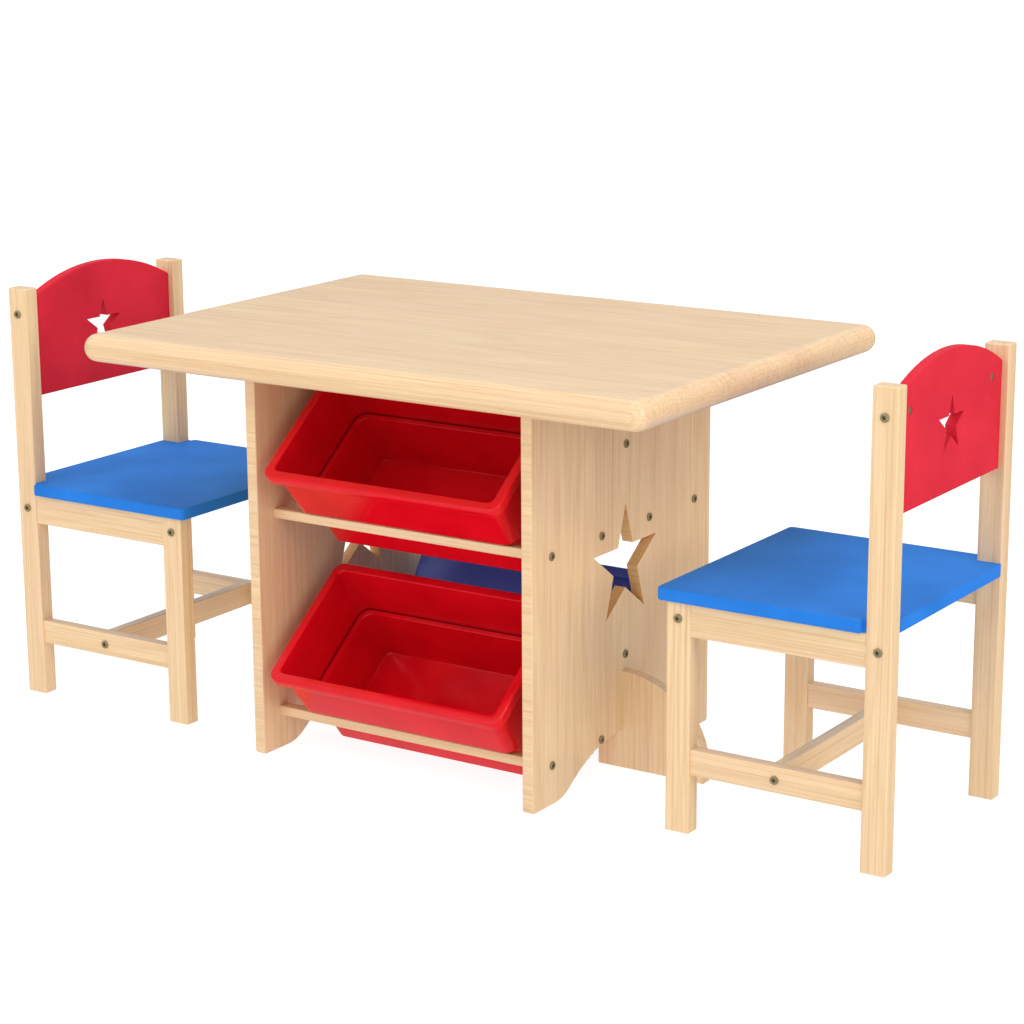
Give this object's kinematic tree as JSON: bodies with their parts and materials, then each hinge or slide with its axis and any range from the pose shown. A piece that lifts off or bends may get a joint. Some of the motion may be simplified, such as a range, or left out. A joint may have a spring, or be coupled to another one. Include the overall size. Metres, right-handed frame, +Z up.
{
  "type": "kids table and chairs",
  "caption": "Low wooden play table with star-cut side panels and tilted pull-out toy tubs on rails, with matching small chairs that have painted seats and arched star backrests.",
  "frame": {"origin": "on the floor at the middle of the footprint of the whole set, table and both chairs", "axes": "+X along the table's long side towards one chair, +Y towards the blue tubs, +Z up"},
  "size_m": [1.3438, 0.613, 0.599],
  "materials": {
    "natural_wood": "clear satin lacquer on pale solid wood",
    "red_plastic": "smooth glossy moulding",
    "blue_plastic": "smooth glossy moulding",
    "red_paint": "smooth satin paint on board",
    "blue_paint": "smooth satin paint on board",
    "brass_bolts": "antique brass plate"
  },
  "bodies": {
    "table": {"table_top": "natural_wood", "side_panel_left": "natural_wood", "side_panel_right": "natural_wood", "wing_foot_left": "natural_wood", "wing_foot_right": "natural_wood", "rail_upper_front_outer": "natural_wood", "rail_upper_front_inner": "natural_wood", "rail_upper_rear_inner": "natural_wood", "rail_upper_rear_outer": "natural_wood", "rail_lower_front_outer": "natural_wood", "rail_lower_front_inner": "natural_wood", "rail_lower_rear_inner": "natural_wood", "rail_lower_rear_outer": "natural_wood", "centre_rail_top": "natural_wood", "centre_rail_low": "natural_wood", "table_bolts": "brass_bolts"},
    "tub_red_upper": {"tub_red_upper": "red_plastic"},
    "tub_red_lower": {"tub_red_lower": "red_plastic"},
    "tub_blue_upper": {"tub_blue_upper": "blue_plastic"},
    "tub_blue_lower": {"tub_blue_lower": "blue_plastic"},
    "chair_left": {"chair_left_leg_near": "natural_wood", "chair_left_post_near": "natural_wood", "chair_left_apron_near": "natural_wood", "chair_left_stretcher_near": "natural_wood", "chair_left_leg_far": "natural_wood", "chair_left_post_far": "natural_wood", "chair_left_apron_far": "natural_wood", "chair_left_stretcher_far": "natural_wood", "chair_left_cross_stretcher": "natural_wood", "chair_left_seat": "blue_paint", "chair_left_backrest": "red_paint", "chair_left_bolts": "brass_bolts", "chair_left_nuts": "brass_bolts"},
    "chair_right": {"chair_right_leg_near": "natural_wood", "chair_right_post_near": "natural_wood", "chair_right_apron_near": "natural_wood", "chair_right_stretcher_near": "natural_wood", "chair_right_leg_far": "natural_wood", "chair_right_post_far": "natural_wood", "chair_right_apron_far": "natural_wood", "chair_right_stretcher_far": "natural_wood", "chair_right_cross_stretcher": "natural_wood", "chair_right_seat": "blue_paint", "chair_right_backrest": "red_paint", "chair_right_bolts": "brass_bolts", "chair_right_nuts": "brass_bolts"}
  },
  "joints": [
    {"name": "tub_red_upper_lift", "type": "slide", "parent": "table", "child": "tub_red_upper", "axis": [0, -0.6088, 0.7934], "range_m": [0, 0.012]},
    {"name": "tub_red_lower_lift", "type": "slide", "parent": "table", "child": "tub_red_lower", "axis": [0, -0.6088, 0.7934], "range_m": [0, 0.05]},
    {"name": "tub_blue_upper_lift", "type": "slide", "parent": "table", "child": "tub_blue_upper", "axis": [0, 0.6088, 0.7934], "range_m": [0, 0.012]},
    {"name": "tub_blue_lower_lift", "type": "slide", "parent": "table", "child": "tub_blue_lower", "axis": [0, 0.6088, 0.7934], "range_m": [0, 0.05]},
    {"name": "chair_right_pull", "type": "slide", "parent": "table", "child": "chair_right", "axis": [1, 0, 0], "range_m": [-0.14, 0.3]},
    {"name": "chair_left_pull", "type": "slide", "parent": "table", "child": "chair_left", "axis": [-1, 0, 0], "range_m": [-0.125, 0.3]}
  ]
}
